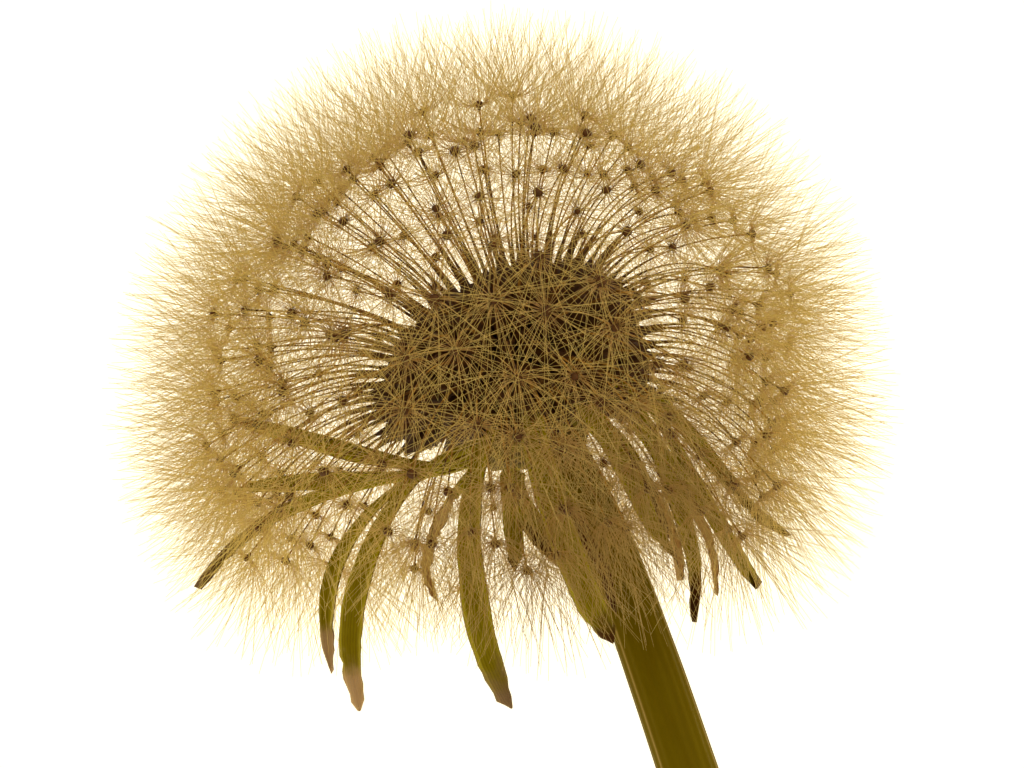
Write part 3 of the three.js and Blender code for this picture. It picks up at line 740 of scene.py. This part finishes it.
def seed_lines(count=SEED_COUNT, shift=0.5, closer=False):
    """Where seeds stand, by equal areas round a spiral: seed i of n is at cos(polar) = 1 - (1 - cos spread) *
    (i + shift) / n. In the closer rows some stand at a half i, between two others. The achene leans half way
    from the dome's normal to the line out to its hub."""
    whole = np.arange(int(count * SPIRAL_REACH))
    i = np.concatenate([whole, whole + 0.5]) if closer else whole
    share = (i + shift) / count
    polar = np.arccos(1 - (1 - np.cos(SEED_SPREAD)) * share) + SEED_SWAY * jitter(i, 1)
    azimuth = i * GOLDEN_TURN + SEED_SWAY * jitter(i, 2) / np.maximum(0.2, np.sin(polar))
    hanging = smooth(*HANGING_NEARNESS, np.cos(azimuth - HANGING_AZIMUTH))
    filled = i % 1 == 0
    for rows in CLOSER_ROWS:
        near = np.cos(azimuth - rows.azimuth) > rows.nearness
        filled |= near & (polar > rows.start) & (polar < rows.end) & (jitter(i, 5) > 0.5 - rows.share)
    kept = filled & (polar <= SEED_LIMIT + SEED_LIMIT_SWAY * np.cos(azimuth) + HANGING_ROWS * hanging)
    i, polar, azimuth, hanging = i[kept], np.abs(polar[kept]), azimuth[kept], hanging[kept]
    around = direction(np.pi / 2, azimuth)
    angle = polar * ROOT_SHARE
    height = np.where(angle > np.pi / 2, FEET_DOME["down"], FEET_DOME["up"])
    foot = around * (FEET_DOME["across"] * np.sin(angle))[:, None]
    foot[:, 2] = height * np.cos(angle)
    normal = around * (np.sin(angle) / FEET_DOME["across"])[:, None]
    normal[:, 2] = np.cos(angle) / height
    beyond = HUB_SWAY * jitter(i, 3)
    hub = GLOBE_CENTRE + direction(polar, azimuth) * (HUB_RADIUS + beyond)[:, None]
    stand = unit(unit(normal) + unit(hub))
    turned = turned_round(square_to(stand), stand, 2 * np.pi * jitter(i, 4))
    # Painted shade: how near a seed is to the side over the stem, where its low bristles are darkened
    painted_shade = smooth(*PAINTED_SHADE_NEARNESS, np.cos(azimuth - PAINTED_SHADE_AZIMUTH))
    short = smooth(*SHORT_NEARNESS, np.cos(azimuth - SHORT_AZIMUTH))
    return {
        "index": i,
        "closed": smooth(*CLOSED_POLAR, polar) * hanging,
        "painted_shade": smooth(*PAINTED_SHADE_POLAR, polar) * painted_shade,
        "short": smooth(*SHORT_POLAR, polar) * short,
        "polar": polar,
        "beyond": beyond,
        "foot": foot,
        "stand": stand,
        "neck": foot + stand * ACHENE_LENGTH,
        "bend": foot + stand * (ACHENE_LENGTH + BEAK_RISE),
        "hub": hub,
        "turned": turned,
    }


def standing_seeds():
    """The seeds whose beaks keep clear of every bract's middle line."""
    seeds = seed_lines(closer=True)
    t = np.linspace(0, 1, 15)
    placed = [bract_points(bract, seat) for _, bracts, seat in BRACT_ROWS for bract in bracts]
    lines = np.concatenate([bezier(points, t) for points in placed])
    beaks = bezier((seeds["neck"], seeds["bend"], seeds["hub"]), np.linspace(0, 1, 9))
    gaps = np.linalg.norm(beaks[:, :, None] - lines, axis=-1).min(axis=(1, 2))
    clear = gaps >= BRACT_ELBOW_ROOM
    return {key: value[clear] for key, value in seeds.items()}


ACHENE_HEIGHTS = np.array([-0.7, -0.1, 0.4, 0.9, 1.35, 1.6, 1.85, 2.1, 2.35, 2.6, 2.85, 3.1, 3.3, 3.6, 3.95]) * MM
ACHENE_GIRTHS = np.array([0.42, 0.5, 0.66, 0.84, 0.95, 0.98, 1, 0.98, 0.95, 0.86, 0.76, 0.6, 0.46, 0.36, 0.22])
ACHENE_TEETH = np.array([0, 0, 0, 0, 0, 0.5, 0, 1, 0, 1, 0, 0.9, 0, 0, 0])
ACHENE_RIB = 0.12  # how much further out than their mean a rib and a groove are, as a share
TOOTH_RISE = 0.12 * MM


def achenes(seeds, sizes, sides, stretch=1.0):
    """Spindles of rings: each radius is the girth at its height, more on a rib and less in a groove, and a tooth
    on every second ring stands out from the ribs and leans up."""
    a = 2 * np.pi * np.arange(sides) / sides
    rib = 0.5 + 0.5 * np.cos(a * sides / 2)
    row = np.arange(len(ACHENE_HEIGHTS))[:, None]
    tooth = ACHENE_TEETH[:, None] * rib[None]
    radius = sizes.achene_radius * ACHENE_GIRTHS[:, None] * (1 + ACHENE_RIB * (2 * rib - 1))[None]
    draw = 0.7 + 0.9 * np.abs(jitter(seeds["index"][:, None, None] * 3.7 + np.arange(sides), 8 + row))
    radius = radius[None] + sizes.achene_tooth * tooth[None] * draw
    rise = (ACHENE_HEIGHTS * stretch)[:, None] + TOOTH_RISE * tooth
    side = seeds["turned"]
    other = np.cross(seeds["stand"], side)
    ring = side[:, None, None] * np.cos(a)[:, None] + other[:, None, None] * np.sin(a)[:, None]
    centres = seeds["foot"][:, None, None] + seeds["stand"][:, None, None] * rise[None, ..., None]
    points = centres + ring * radius[..., None]
    # The ridge value paints shade into the grooves: low in a groove, high on a rib and a tooth
    return points, tube_faces(points), {"ridge": 0.75 * rib[None] + 0.25 * tooth}


def dome_profile(dome, floor, steps):
    """Radii and heights up an oval dome, from its floor to its top."""
    angle = np.linspace(np.arcsin(floor / dome["down"]), np.pi / 2, steps)
    height = np.where(angle < 0, dome["down"], dome["up"])
    return dome["across"] * np.cos(angle), height * np.sin(angle)


def spun(radii, heights, sides, bulge=0.0):
    """A profile turned about the head's axis, each point moved out by its bulge."""
    a = 2 * np.pi * np.arange(sides) / sides
    out = radii[:, None] * np.ones(sides) + bulge
    return np.stack([out * np.cos(a), out * np.sin(a), heights[:, None] * np.ones(sides)], axis=-1)


def feet_layer(steps=30, sides=120):
    """A cap over the receptacle's dome, its skin pitted by the feet packed on it: each pit is the product of the
    sines of x, y and z, each over its spacing."""
    outer = dome_profile(FEET_DOME, FEET_FLOOR, steps)
    inner = dome_profile(FEET_HOLLOW, FEET_FLOOR, steps)
    radii = np.maximum(CAP_RADIUS, np.concatenate([inner[0][::-1], outer[0]]))
    heights = np.concatenate([inner[1][::-1], outer[1]])
    points = spun(radii, heights, sides)
    pits = np.prod(np.sin(points / FOOT_SPACING), axis=-1)
    skin = (np.arange(2 * steps) >= steps)[:, None, None]
    points = (points + skin * unit(points) * (FOOT_PITS * pits)[..., None])[None]
    # The ridge value paints shade into the pits between the feet
    return points, tube_faces(points), {"ridge": 0.3 + 0.3 * pits}


def build_achenes(sizes, colours):
    """The brown heart of the head: packed feet, the achenes of standing seeds, and spare ones between them."""
    spare = seed_lines(sizes.spare_achenes, 0.15)
    spare["index"] = spare["index"] + SEED_COUNT
    parts = [feet_layer(), achenes(standing_seeds(), sizes, 10), achenes(spare, sizes, 8, 0.9)]
    points, faces, values = joined(parts)
    add_piece("achenes", laid(points), faces, values, achene_material(colours), "seeds", "seed_head")


# A hub's rings: where each is along the beak's line, and its share of the radius
HUB_RISE = np.array([-0.34, -0.16, -0.05, 0.08, 0.22, 0.3]) * MM
HUB_SWELL = np.array([0.25, 0.5, 0.95, 1.05, 0.85, 0.15])
HUB_SIZES = 0.35  # how much they differ, as a share


def build_beaks(sizes, colours):
    """Thin stalks along the curve from each achene's neck by its bend to its hub, with a knob on top."""
    seeds = standing_seeds()
    t = np.linspace(0, 1, 12)
    lines = bezier((seeds["neck"], seeds["bend"], seeds["hub"]), t)
    girth = sizes.beak_radius * (1 + 0.25 * smooth(0.85, 1, t))
    girth = np.maximum(girth, mix(sizes.beak_neck, sizes.beak_radius, smooth(0, 0.4, t)))
    points = tubes(lines, np.broadcast_to(girth, lines.shape[:2]), seeds["turned"], 6)
    values = {"along": t[None, :, None]}
    add_piece("beaks", laid(points), tube_faces(points), values, beak_material(colours), "seeds", "seed_head")

    ahead = unit(seeds["hub"] - seeds["bend"])
    centres = seeds["hub"][:, None] + ahead[:, None] * HUB_RISE[None, :, None]
    girth = sizes.hub_radius * HUB_SWELL * (1 + HUB_SIZES * jitter(seeds["index"], 9))[:, None]
    knobs = tubes(centres, girth, seeds["turned"], 9)
    add_piece("hubs", laid(knobs), tube_faces(knobs), {}, hub_material(colours), "seeds", "seed_head")


BRISTLE_STATIONS = np.array([0, 0.1, 0.34, 0.7, 1.0])
BRISTLE_SIDES = 3
BRISTLE_THINNING = 0.3  # how much thinner its tip is, as a share
BRISTLE_BEND = (0.07, 0.13)  # the inmost and the outermost bristles turn over about these shares of their length
BRISTLE_CROWDING = 0.65  # below 1, more of them lean far out than stand up
BRISTLE_START_SWAY = np.radians(14)
BRISTLE_LEAN_SWAY = np.radians(16)
BRISTLE_TURN_SWAY = 0.25
BRISTLE_DRIFT = 0.35 * MM  # how far aside its tip may drift
BRISTLE_LENGTHS = 0.12  # how much their lengths differ, as a share
BRISTLE_SHORTENING = 0.36  # how much shorter the short rows' are, as a share
TIP_LEVELLING = 0.85  # how much of its hub's distance beyond the others a bristle makes up for
BRISTLE_SHADE = 0.12  # how far towards the painted-shade colour each is, on average, as a random tone
BRISTLE_SHADE_SWAY = 0.24
# Painted shade: how far the lowest bristles over the stem are darkened
PAINTED_SHADE_SHARE = 0.5
PAPPUS_TILT = np.radians(24)
PAPPUS_CLUMPING = 0.06
PAPPUS_CLUMPS = 13
PAPPUS_CLOSING = 0.45  # how much less far the most closed ones open, as a share
PAPPUS_CLOSING_POLAR = np.radians((80, 109))  # where this grows from its least, which is near the apex, to its full
PAPPUS_CLOSING_LEAST = 0.3
HANGING_CLOSING = 0.15
SHORT_OPENING = 0.35
PAPPUS_PIECES = 4


def bristle_girth(sizes):
    """Radii along a bristle: it thins quickly above its root, keeps its girth, and ends in a fine tip."""
    t = BRISTLE_STATIONS
    return mix(sizes.bristle_end, sizes.bristle_root, (1 - t) ** 3) * (1 - BRISTLE_THINNING * smooth(0.7, 1, t))


def bristle_lines(seeds, sizes):
    """Each bristle leaves its hub at a start angle from the beak's line and turns towards its lean, by
    angle = lean + (start - lean) * exp(-t / bend), while its azimuth goes round by the golden angle."""
    n = sizes.bristles
    i = seeds["index"][:, None]
    j = np.arange(n)[None]
    order = (j + 0.5) / n
    line = unit(seeds["hub"] - seeds["bend"])
    one_way = seeds["turned"] * (PAPPUS_TILT * jitter(seeds["index"], 21))[:, None]
    other_way = np.cross(line, seeds["turned"]) * (PAPPUS_TILT * jitter(seeds["index"], 22))[:, None]
    line = unit(line + one_way + other_way)
    side = unit(seeds["turned"] - dot(seeds["turned"], line) * line)
    other = np.cross(line, side)

    low = mix(PAPPUS_CLOSING_LEAST, 1, smooth(*PAPPUS_CLOSING_POLAR, seeds["polar"][:, None]))
    opening = 1 - PAPPUS_CLOSING * smooth(0.15, 0.5, np.abs(jitter(i, 23))) * low
    opening = opening * (1 - HANGING_CLOSING * seeds["closed"] + SHORT_OPENING * seeds["short"])[:, None]
    start = mix(sizes.inner_start, sizes.outer_start, order) * mix(0.6, 1, opening)
    start = start + BRISTLE_START_SWAY * jitter(i * 7.31 + j * 1.17, 24)
    lean = mix(sizes.inner_lean, sizes.outer_lean, order**BRISTLE_CROWDING) * opening
    lean = lean + BRISTLE_LEAN_SWAY * jitter(i + j * 3.3, 25)
    azimuth = j * GOLDEN_TURN + 2 * np.pi * jitter(i, 26) + BRISTLE_TURN_SWAY * jitter(i * 1.9 + j * 2.7, 27)
    azimuth = azimuth + PAPPUS_CLUMPING * np.sin(PAPPUS_CLUMPS * azimuth + 2 * np.pi * jitter(i, 30))
    length = sizes.bristle_length * (1 + BRISTLE_LENGTHS * jitter(i * 5.1 + j, 28))
    length = length * (1 - BRISTLE_SHORTENING * seeds["short"][:, None]) - TIP_LEVELLING * seeds["beyond"][:, None]

    t = BRISTLE_STATIONS
    middle = (t[1:] + t[:-1]) / 2
    bend = mix(*BRISTLE_BEND, order)[..., None]
    angle = lean[..., None] + (start - lean)[..., None] * np.exp(-middle / bend)
    step = np.diff(t) * length[..., None]
    zero = np.zeros((*length.shape, 1))
    out = np.concatenate([zero, np.cumsum(np.sin(angle) * step, axis=-1)], axis=-1) + 0.9 * sizes.hub_radius
    rise = np.concatenate([zero, np.cumsum(np.cos(angle) * step, axis=-1)], axis=-1)
    aside = BRISTLE_DRIFT * jitter(i * 2.3 + j * 1.3, 29)[..., None] * t**2

    radial = side[:, None] * np.cos(azimuth)[..., None] + other[:, None] * np.sin(azimuth)[..., None]
    tangent = other[:, None] * np.cos(azimuth)[..., None] - side[:, None] * np.sin(azimuth)[..., None]
    points = seeds["hub"][:, None, None] + line[:, None, None] * rise[..., None]
    points = points + radial[:, :, None] * out[..., None] + tangent[:, :, None] * aside[..., None]
    return points, tangent


def build_pappus(sizes, colours):
    """All bristles, in a few pieces so that none is too heavy."""
    material = bristle_material(colours)
    seeds = standing_seeds()
    girth = bristle_girth(sizes)
    for number in range(PAPPUS_PIECES):
        some = {key: value[number::PAPPUS_PIECES] for key, value in seeds.items()}
        lines, tangent = bristle_lines(some, sizes)
        seed_count, per_seed, stations = lines.shape[:3]
        lines = lifted(laid(lines)).reshape(-1, stations, 3)
        turned = (tangent @ HEAD_AXES).reshape(-1, 3)
        points = tubes(lines, np.broadcast_to(girth, lines.shape[:2]), turned, BRISTLE_SIDES)
        draw = jitter(np.arange(seed_count)[:, None] * 3.1 + np.arange(per_seed)[None], 41)
        shade = BRISTLE_SHADE + BRISTLE_SHADE_SWAY * draw
        # Painted shade darkens the lowest bristles over the stem
        shade = (shade + PAINTED_SHADE_SHARE * some["painted_shade"][:, None]).reshape(-1)
        values = {"along": BRISTLE_STATIONS[None, :, None], "shade": shade[:, None, None]}
        name = f"pappus_{number + 1:02d}"
        add_piece(name, points, tube_faces(points), values, material, "seeds", "seed_head")


# Receptacle


def build_receptacle(greens, colours):
    """The foot's flare up to the rim and over the dome; grooves run up the flare as cos(n a), a little uneven."""
    shelf = FEET_FLOOR - CLEARANCE
    sides = 128
    share = np.linspace(0, len(FOOT_FLARE) - 1, 26)
    rows = np.arange(len(FOOT_FLARE))
    flare_radius = np.interp(share, rows, FOOT_FLARE[:, 0])
    flare_height = np.interp(share, rows, FOOT_FLARE[:, 1])
    dome = dome_profile(RECEPTACLE_DOME, shelf, 18)
    top = np.maximum(CAP_RADIUS, dome[0])
    radii = np.concatenate([[CAP_RADIUS], flare_radius, [RIM_RADIUS - CLEARANCE], top])
    heights = np.concatenate([[RECEPTACLE_FOOT], flare_height, [shelf], dome[1]])
    a = 2 * np.pi * np.arange(sides) / sides
    on_flare = smooth(*GROOVES_FROM, heights) * (heights < RIM_HEIGHT + 0.01 * MM)
    groove = on_flare[:, None] * (0.5 - 0.5 * np.cos(GROOVES * a + 0.6 * wander(a / 3, 5)))[None]
    points = laid(spun(radii, heights, sides, -greens.flute * groove))[None]
    material = receptacle_material(colours)
    # The groove depth also paints shade into the grooves
    add_piece("receptacle_body", points, tube_faces(points), {"groove": groove}, material, "receptacle", "receptacle")


# Stem


def stem_course(steps):
    """The stem's middle from the head to the cut end. It falls straight at the head's pitch, levels out along an
    arc and then lies flat; its yaw fades as exp(-s / bend) and sways by the square of the share gone."""
    foot = laid(np.array([[0, 0, RECEPTACLE_FOOT - CLEARANCE]]))[0]
    end_radius = (STEM_RADIUS + STEM_GROWTH) * STEM_ROUND
    flare_drop = STEM_FLARE * (1 - np.cos(HEAD_PITCH)) / HEAD_PITCH
    straight = (foot[2] - end_radius - flare_drop) / np.sin(HEAD_PITCH)
    length = straight + STEM_FLARE + STEM_LYING

    def drop(s):
        t = np.clip(s - straight, 0, STEM_FLARE)
        left = HEAD_PITCH * (1 - t / STEM_FLARE)
        arc = STEM_FLARE / HEAD_PITCH * (np.cos(left) - np.cos(HEAD_PITCH))
        return np.minimum(s, straight) * np.sin(HEAD_PITCH) + arc

    edges = np.linspace(0, length, steps)
    middle = (edges[1:] + edges[:-1]) / 2
    step = edges[1]
    yaw = HEAD_YAW * np.exp(-middle / STEM_BEND) + STEM_SWAY * (middle / length) ** 2
    level = step * np.sqrt(1 - (np.diff(drop(edges)) / step) ** 2)
    points = np.zeros((steps, 3))
    points[1:, 0] = -np.cumsum(level * np.cos(yaw))
    points[1:, 1] = -np.cumsum(level * np.sin(yaw))
    points[:, 2] = -drop(edges)
    return foot + points, edges


def build_stem(greens, colours):
    """A hollow tube: its outside from the head to the cut end, the lip, back along its inside, and a ring of faces
    that closes it at the head."""
    steps, sides = 90, 120
    line, s = stem_course(steps)
    ahead = unit(np.gradient(line, axis=0))
    side = unit(np.cross(UP, ahead))
    up = np.cross(ahead, side)
    a = 2 * np.pi * np.arange(sides) / sides
    outer = (STEM_RADIUS + STEM_GROWTH * (1 - np.exp(-s / STEM_GROWTH_LENGTH))) * STEM_ROUND
    ribs = greens.rib * (np.cos(STEM_RIBS * a)[None] + 0.6 * wander(a / 2.1, 3)[None] - 1)
    swell = STEM_SWELL * wander(s / STEM_SWELL_LENGTH, 4)
    skin = outer[:, None] + ribs + np.minimum(0, swell)[:, None]
    bore = outer[:, None] - greens.wall + BORE_RIDGE * np.cos(BORE_RIDGES * a + 1)[None]
    cut = np.zeros((steps, sides))
    cut[-1] = CUT_SWAY * wander(a / np.pi, 6)
    around = side[:, None] * np.sin(a)[:, None] - up[:, None] * np.cos(a)[:, None]

    def ring(radius):
        return line[:, None] + around * radius[..., None] + ahead[:, None] * cut[..., None]

    outside, inside = ring(skin), ring(bore)[::-1]
    outside[0] -= ahead[0] * STEM_OVERLAP
    inside[-1] -= ahead[0] * STEM_OVERLAP
    points = np.concatenate([outside, inside])
    rows = 2 * steps
    closing = sheet_faces(2, sides, first=(rows - 1) * sides) % (rows * sides)
    faces = [sheet_faces(rows, sides), closing]
    # Painted light along both sides of the stem, where light would come through the thin wall
    stripe = STEM_PAINTED_LIGHT_SHARE * np.exp(-(((np.abs(np.sin(a)) - STEM_PAINTED_LIGHT_AT) / STEM_PAINTED_LIGHT_WIDTH) ** 2))
    add_piece("stem_tube", points, faces, {"stripe": stripe}, stem_material(colours), "stem", "stem")


# Stage


def build_stage(colours):
    """A glowing table, a pale sky, and one broad soft light over the head."""
    corners = np.array([[-1, -1, 0], [1, -1, 0], [1, 1, 0], [-1, 1, 0]]) * FLOOR_HALF
    mesh = bpy.data.meshes.new("table")
    mesh.from_pydata(corners.tolist(), [], [(0, 1, 2, 3)])
    mesh.materials.append(table_material(colours))
    table = bpy.data.objects.new("table", mesh)
    bpy.context.scene.collection.objects.link(table)

    world = bpy.data.worlds.new("pale sky")
    world.use_nodes = True
    sky = world.node_tree.nodes["Background"]
    sky.inputs["Color"].default_value = SKY_COLOUR
    sky.inputs["Strength"].default_value = SKY_GLOW
    bpy.context.scene.world = world

    light = bpy.data.lights.new("soft light", "AREA")
    light.size = LAMP_SIZE
    light.energy = LAMP_POWER
    light.color = LAMP_COLOUR
    lamp = bpy.data.objects.new("soft light", light)
    lamp.location = LAMP_AT
    lamp.rotation_euler = (LAMP_LEAN, 0, 0)
    bpy.context.scene.collection.objects.link(lamp)

    bpy.context.scene.view_settings.view_transform = "Standard"
    bpy.context.scene.view_settings.look = "None"


def build_camera():
    """Looks down on the head with the stem towards the picture's foot: up is the head's way, raised by the tilt."""
    level = np.array([np.cos(CAMERA_TURN), np.sin(CAMERA_TURN), 0.0])
    right = np.array([np.sin(CAMERA_TURN), -np.cos(CAMERA_TURN), 0.0])
    up = np.cos(CAMERA_TILT) * level + np.sin(CAMERA_TILT) * UP
    back = np.cos(CAMERA_TILT) * UP - np.sin(CAMERA_TILT) * level
    aim = laid(GLOBE_CENTRE[None])[0] + CAMERA_RIGHT_SHIFT * right + CAMERA_UP_SHIFT * up
    place = aim + CAMERA_AWAY * back
    data = bpy.data.cameras.new("camera")
    data.lens = CAMERA_LENS
    data.sensor_width = CAMERA_SENSOR
    data.clip_start = CAMERA_NEAREST
    camera = bpy.data.objects.new("camera", data)
    rows = [(*row, at) for row, at in zip(np.stack([right, up, back], axis=1), place)]
    camera.matrix_world = Matrix([*rows, (0, 0, 0, 1)])
    bpy.context.scene.collection.objects.link(camera)
    bpy.context.scene.camera = camera


class DANDELION_OT_stage(bpy.types.Operator):
    """Set up the table, the light and the camera"""

    bl_idname = "dandelion.stage"
    bl_label = "Stage"

    def execute(self, context):
        build_stage(context.scene.dandelion_colours)
        build_camera()
        return {"FINISHED"}


class DANDELION_OT_stem(bpy.types.Operator):
    """Build the hollow stem"""

    bl_idname = "dandelion.stem"
    bl_label = "Stem"

    def execute(self, context):
        build_stem(context.scene.dandelion_greens, context.scene.dandelion_colours)
        return {"FINISHED"}


class DANDELION_OT_receptacle(bpy.types.Operator):
    """Build the receptacle"""

    bl_idname = "dandelion.receptacle"
    bl_label = "Receptacle"

    def execute(self, context):
        build_receptacle(context.scene.dandelion_greens, context.scene.dandelion_colours)
        return {"FINISHED"}


class DANDELION_OT_bracts(bpy.types.Operator):
    """Build the inner and outer bracts"""

    bl_idname = "dandelion.bracts"
    bl_label = "Bracts"

    def execute(self, context):
        build_bracts(context.scene.dandelion_greens, context.scene.dandelion_colours)
        return {"FINISHED"}


class DANDELION_OT_achenes(bpy.types.Operator):
    """Build the ribbed seeds packed on the receptacle"""

    bl_idname = "dandelion.achenes"
    bl_label = "Achenes"

    def execute(self, context):
        build_achenes(context.scene.dandelion_seeds, context.scene.dandelion_colours)
        return {"FINISHED"}


class DANDELION_OT_beaks(bpy.types.Operator):
    """Build the beaks and their hubs"""

    bl_idname = "dandelion.beaks"
    bl_label = "Beaks"

    def execute(self, context):
        build_beaks(context.scene.dandelion_seeds, context.scene.dandelion_colours)
        return {"FINISHED"}


class DANDELION_OT_pappus(bpy.types.Operator):
    """Build the bristles"""

    bl_idname = "dandelion.pappus"
    bl_label = "Bristles"

    def execute(self, context):
        build_pappus(context.scene.dandelion_seeds, context.scene.dandelion_colours)
        return {"FINISHED"}


GROUPS = {
    "dandelion_seeds": DandelionSeeds,
    "dandelion_greens": DandelionGreens,
    "dandelion_colours": DandelionColours,
}
OPERATORS = (
    DANDELION_OT_stage,
    DANDELION_OT_stem,
    DANDELION_OT_receptacle,
    DANDELION_OT_bracts,
    DANDELION_OT_achenes,
    DANDELION_OT_beaks,
    DANDELION_OT_pappus,
)


class DANDELION_PT_panel(bpy.types.Panel):
    """Lists the sizes, the colours and the steps"""

    bl_idname = "DANDELION_PT_panel"
    bl_label = "Dandelion"
    bl_space_type = "VIEW_3D"
    bl_region_type = "UI"
    bl_category = "Dandelion"

    def draw(self, context):
        for key, group in GROUPS.items():
            box = self.layout.box()
            for field in group.__annotations__:
                box.prop(getattr(context.scene, key), field)
        for operator in OPERATORS:
            self.layout.operator(operator.bl_idname)


CLASSES = (*GROUPS.values(), *OPERATORS, DANDELION_PT_panel)


def register():
    for cls in CLASSES:
        bpy.utils.register_class(cls)
    for key, group in GROUPS.items():
        setattr(bpy.types.Scene, key, bpy.props.PointerProperty(type=group))


def unregister():
    for key in GROUPS:
        delattr(bpy.types.Scene, key)
    for cls in reversed(CLASSES):
        bpy.utils.unregister_class(cls)


def main():
    register()
    bpy.ops.dandelion.stage()
    bpy.ops.dandelion.stem()
    bpy.ops.dandelion.receptacle()
    bpy.ops.dandelion.bracts()
    bpy.ops.dandelion.achenes()
    bpy.ops.dandelion.beaks()
    bpy.ops.dandelion.pappus()


if __name__ == "__main__":
    main()
